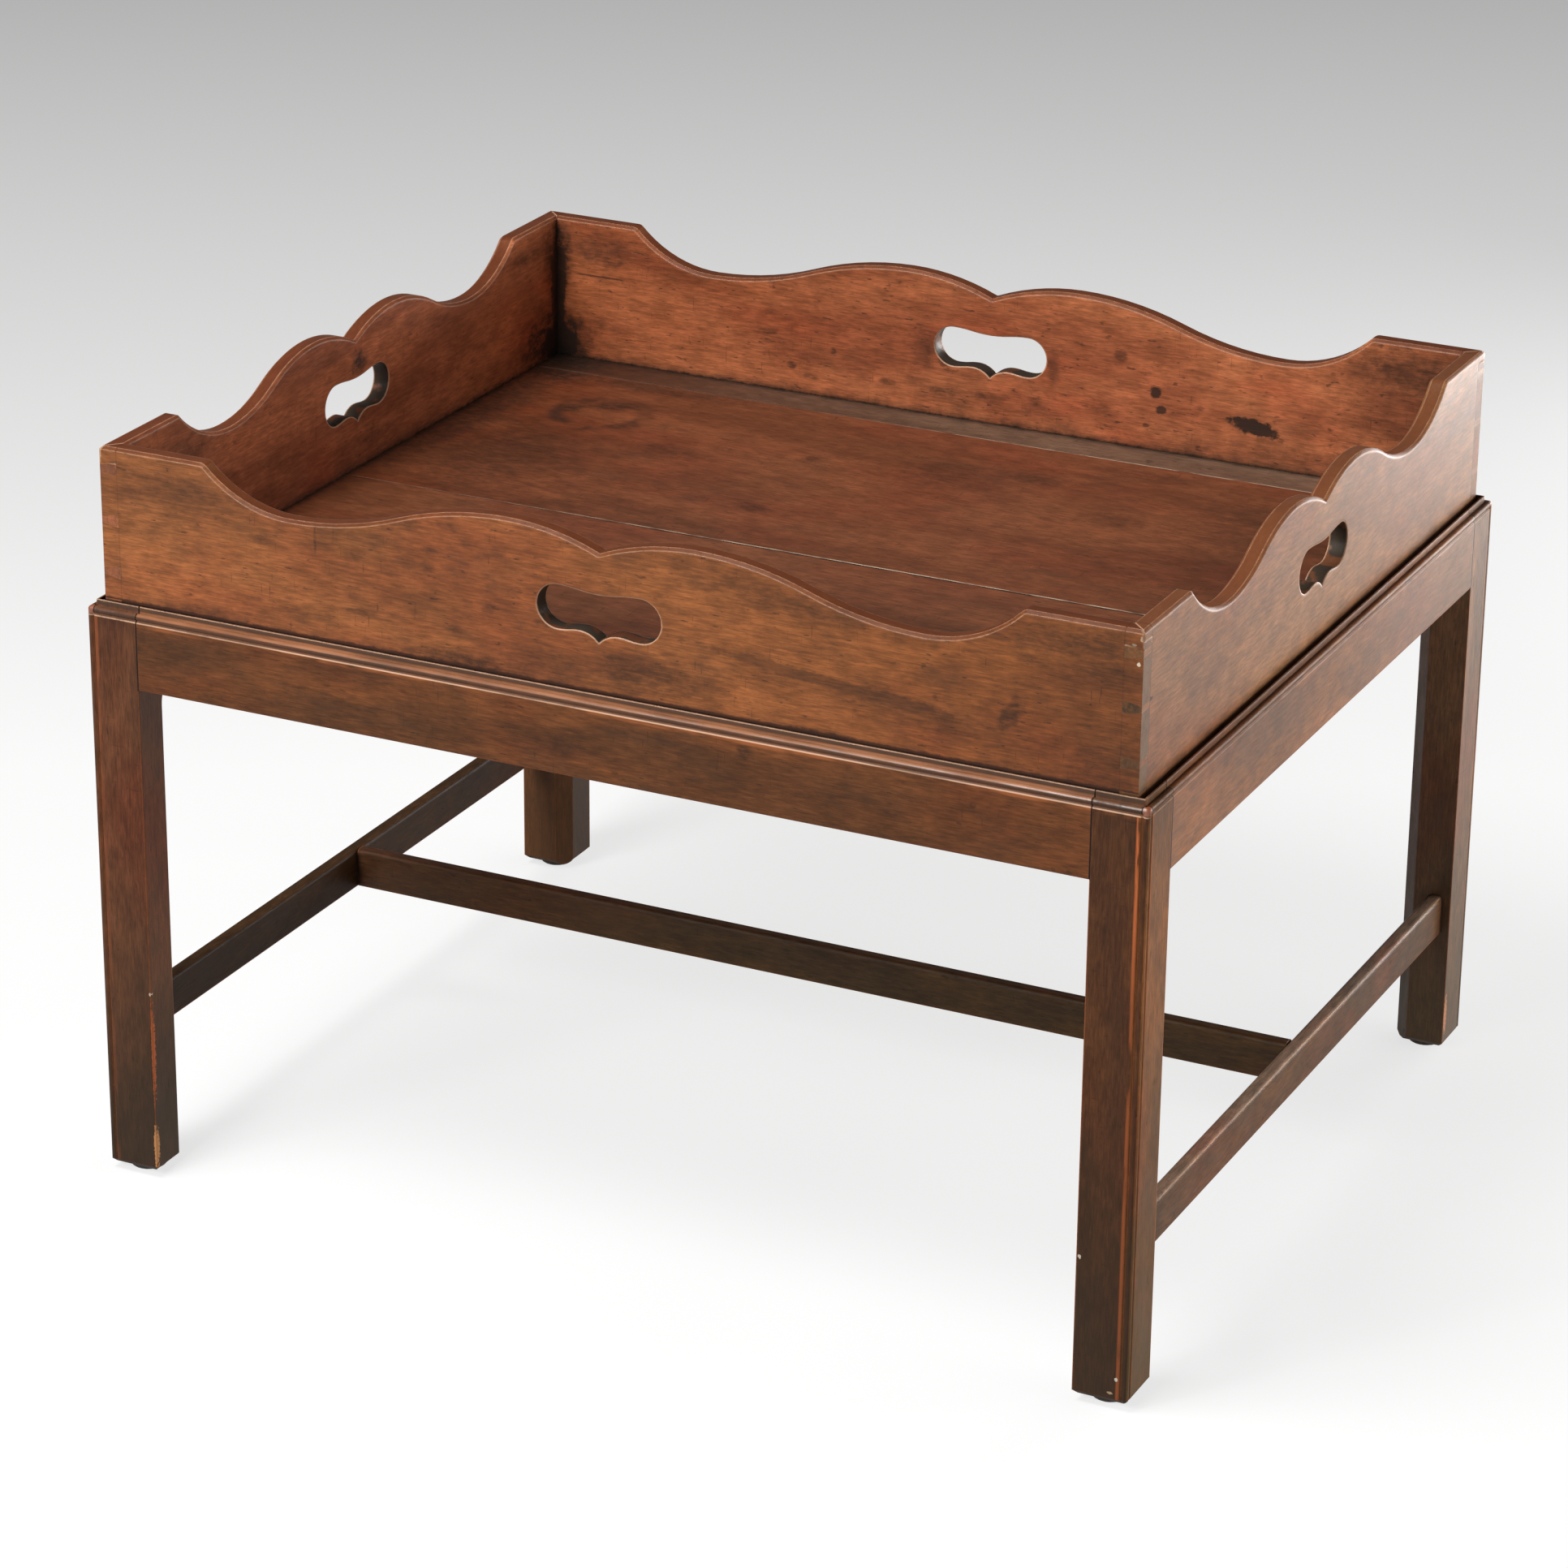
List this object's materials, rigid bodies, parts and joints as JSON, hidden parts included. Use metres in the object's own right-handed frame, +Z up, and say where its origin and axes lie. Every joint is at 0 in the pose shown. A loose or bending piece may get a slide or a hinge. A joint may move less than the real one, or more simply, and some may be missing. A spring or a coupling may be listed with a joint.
{
  "type": "butler's tray table",
  "caption": "Low table made of a lift-off tray with a shaped, pierced gallery that rests in the moulded top of a square-legged wooden stand with low stretchers.",
  "frame": {"origin": "on the floor, below the middle of the stand", "axes": "+X along the length to the right of someone at the front, +Y from front to back, +Z up"},
  "size_m": [0.762, 0.635, 0.528],
  "materials": {
    "tray_wood": "worn satin polish",
    "floor_wood": "worn satin polish",
    "stand_wood": "dark satin polish",
    "felt": "pressed felt",
    "iron": "dull iron"
  },
  "bodies": {
    "stand": {"leg_front_left": "stand_wood", "leg_front_right": "stand_wood", "leg_back_left": "stand_wood", "leg_back_right": "stand_wood", "rail_front": "stand_wood", "rail_back": "stand_wood", "rail_left": "stand_wood", "rail_right": "stand_wood", "stretcher_left": "stand_wood", "stretcher_right": "stand_wood", "stretcher_centre": "stand_wood", "glide_front_left": "felt", "glide_front_right": "felt", "glide_back_left": "felt", "glide_back_right": "felt", "glide_nails": "iron"},
    "tray": {"tray_front": "tray_wood", "tray_back": "tray_wood", "tray_left_end": "tray_wood", "tray_right_end": "tray_wood", "tray_floor_front": "floor_wood", "tray_floor_middle": "floor_wood", "tray_floor_strip": "floor_wood", "tray_floor_nails": "iron"}
  },
  "joints": [
    {"name": "tray_lift", "type": "slide", "parent": "stand", "child": "tray", "axis": [0, 0, 1], "range_m": [0, 0.2]}
  ]
}
